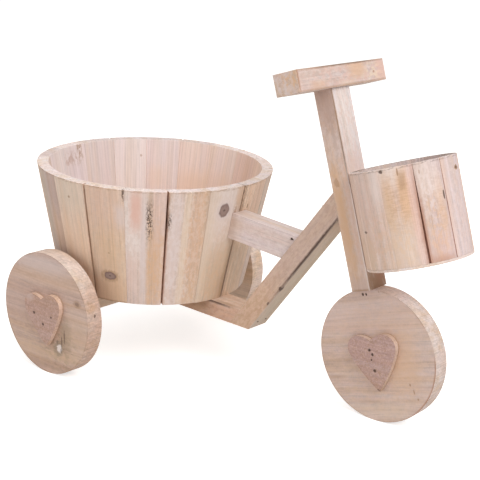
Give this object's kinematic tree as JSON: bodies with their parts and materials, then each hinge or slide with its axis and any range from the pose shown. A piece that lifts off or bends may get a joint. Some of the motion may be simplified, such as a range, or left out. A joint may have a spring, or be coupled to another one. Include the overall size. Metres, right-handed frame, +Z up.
{
  "type": "tricycle planter",
  "caption": "Wooden tricycle planter: coopered tub over turning rear disc wheels, strut frame, leaning post with handlebar, and a small stave basket above a fixed front wheel.",
  "frame": {"origin": "on the floor under the middle of the overall length, in the middle plane", "axes": "+X forward towards the front wheel, +Y to the planter's left, +Z up from the floor"},
  "size_m": [0.5866, 0.3338, 0.3861],
  "materials": {
    "stave_wood": "raw sawn fir with a thin whitewash",
    "frame_wood": "raw planed fir",
    "disc_wood": "raw fir, saw marks on the rim",
    "heart_wood": "stained fir, raw sawn edge",
    "steel": "dull wire"
  },
  "bodies": {
    "frame": {"axle_beam": "frame_wood", "axle_screws": "steel", "axle_washers": "steel", "basket_floor": "stave_wood", "basket_floor_brads": "steel", "basket_screws": "steel", "basket_stave_01": "stave_wood", "basket_stave_02": "stave_wood", "basket_stave_03": "stave_wood", "basket_stave_04": "stave_wood", "basket_stave_05": "stave_wood", "basket_stave_06": "stave_wood", "basket_stave_07": "stave_wood", "basket_stave_08": "stave_wood", "basket_stave_09": "stave_wood", "basket_stave_10": "stave_wood", "frame_nails": "steel", "front_heart_brads": "steel", "front_pin_brads": "steel", "front_wheel": "disc_wood", "handlebar": "frame_wood", "handlebar_nails": "steel", "left_front_heart": "heart_wood", "rail": "frame_wood", "right_front_heart": "heart_wood", "steering_post": "frame_wood", "strut": "frame_wood", "top_bar": "frame_wood", "tub_floor": "stave_wood", "tub_floor_screws": "steel", "tub_stave_01": "stave_wood", "tub_stave_02": "stave_wood", "tub_stave_03": "stave_wood", "tub_stave_04": "stave_wood", "tub_stave_05": "stave_wood", "tub_stave_06": "stave_wood", "tub_stave_07": "stave_wood", "tub_stave_08": "stave_wood", "tub_stave_09": "stave_wood", "tub_stave_10": "stave_wood", "tub_stave_11": "stave_wood", "tub_stave_12": "stave_wood", "tub_stave_13": "stave_wood", "tub_stave_14": "stave_wood", "tub_stave_15": "stave_wood", "tub_stave_16": "stave_wood", "tub_stave_17": "stave_wood", "tub_stave_18": "stave_wood"},
    "right_rear_wheel": {"right_rear_heart": "heart_wood", "right_rear_heart_brads": "steel", "right_rear_wheel": "disc_wood"},
    "left_rear_wheel": {"left_rear_heart": "heart_wood", "left_rear_heart_brads": "steel", "left_rear_wheel": "disc_wood"}
  },
  "joints": [
    {"name": "right_rear_spin", "type": "hinge", "parent": "frame", "child": "right_rear_wheel", "pos_m": [-0.17668, 0, 0.075], "axis": [0, 1, 0], "continuous": true},
    {"name": "left_rear_spin", "type": "hinge", "parent": "frame", "child": "left_rear_wheel", "pos_m": [-0.17668, 0, 0.075], "axis": [0, 1, 0], "continuous": true}
  ]
}
